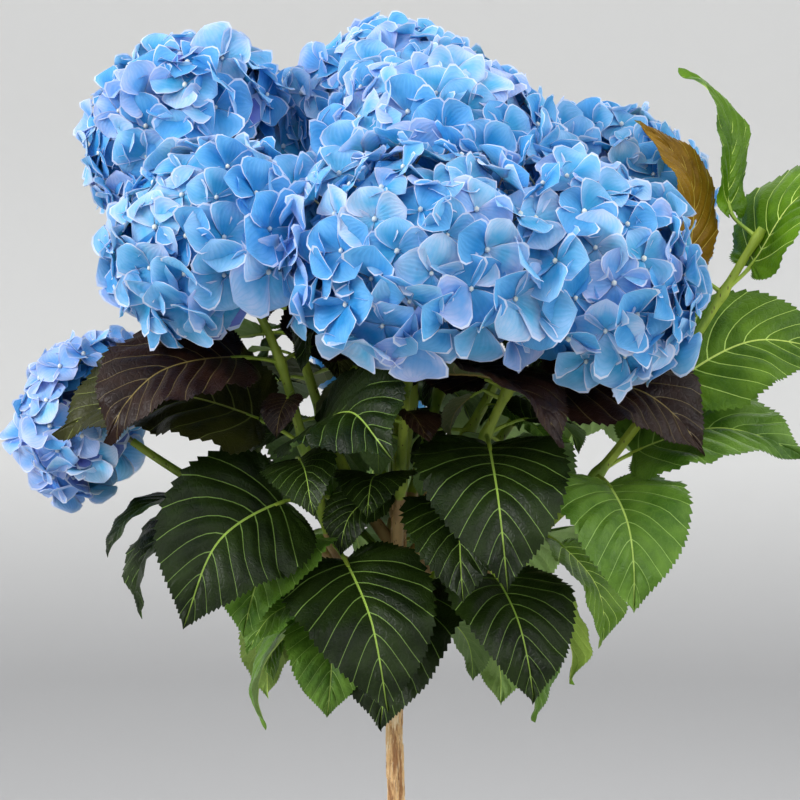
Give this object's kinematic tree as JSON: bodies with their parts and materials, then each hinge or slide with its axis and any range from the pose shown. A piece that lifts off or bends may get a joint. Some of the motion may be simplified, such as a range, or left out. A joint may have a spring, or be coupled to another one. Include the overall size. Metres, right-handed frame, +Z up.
{
  "type": "potted standard hydrangea shrub",
  "caption": "Blue mophead hydrangea trained as a small standard in a plain clay pot, with a bare trunk, broad leaves and round flower heads.",
  "frame": {"origin": "middle of the pot's flat underside", "axes": "+Z up along the trunk, +X to the right and +Y away from someone who faces the plant's front"},
  "size_m": [0.5153, 0.4122, 0.937],
  "materials": {
    "clay": "matt fired clay",
    "compost": "moist crumbly compost",
    "bark": "peeling tan bark",
    "green_stem": "smooth green stem",
    "foliage": "satin leaf",
    "blossom": "soft petal"
  },
  "bodies": {
    "root": {"pot": "clay", "compost": "compost", "trunk": "bark", "bough_left_front": "green_stem", "bough_right_front": "green_stem", "bough_centre_front": "green_stem", "bough_low_right": "green_stem", "bough_right_leafy": "green_stem", "bough_low_1": "green_stem", "bough_low_2": "green_stem", "bough_low_3": "green_stem", "bough_low_4": "green_stem", "bough_low_5": "green_stem", "bough_upper_centre": "green_stem", "bough_left_back": "green_stem", "bough_top_back": "green_stem", "bough_right_back": "green_stem", "bough_lower_left": "green_stem", "bough_back_left": "green_stem", "bough_back_right": "green_stem", "bough_low_right_back": "green_stem", "bough_low_back": "green_stem", "leaves_left_front": "foliage", "leaves_right_front": "foliage", "leaves_centre_front": "foliage", "leaves_low_right": "foliage", "leaves_right_leafy": "foliage", "leaves_low_1": "foliage", "leaves_low_2": "foliage", "leaves_low_3": "foliage", "leaves_low_4": "foliage", "leaves_low_5": "foliage", "leaves_upper_centre": "foliage", "leaves_left_back": "foliage", "leaves_top_back": "foliage", "leaves_right_back": "foliage", "leaves_lower_left": "foliage", "leaves_back_left": "foliage", "leaves_back_right": "foliage", "leaves_low_right_back": "foliage", "leaves_low_back": "foliage", "flowers_left_front": "blossom", "flowers_right_front": "blossom", "flowers_centre_front": "blossom", "flowers_upper_centre": "blossom", "flowers_left_back": "blossom", "flowers_top_back": "blossom", "flowers_right_back": "blossom", "flowers_lower_left": "blossom", "flowers_back_left": "blossom", "flowers_back_right": "blossom", "flowers_low_right_back": "blossom", "flowers_low_back": "blossom"}
  },
  "joints": []
}
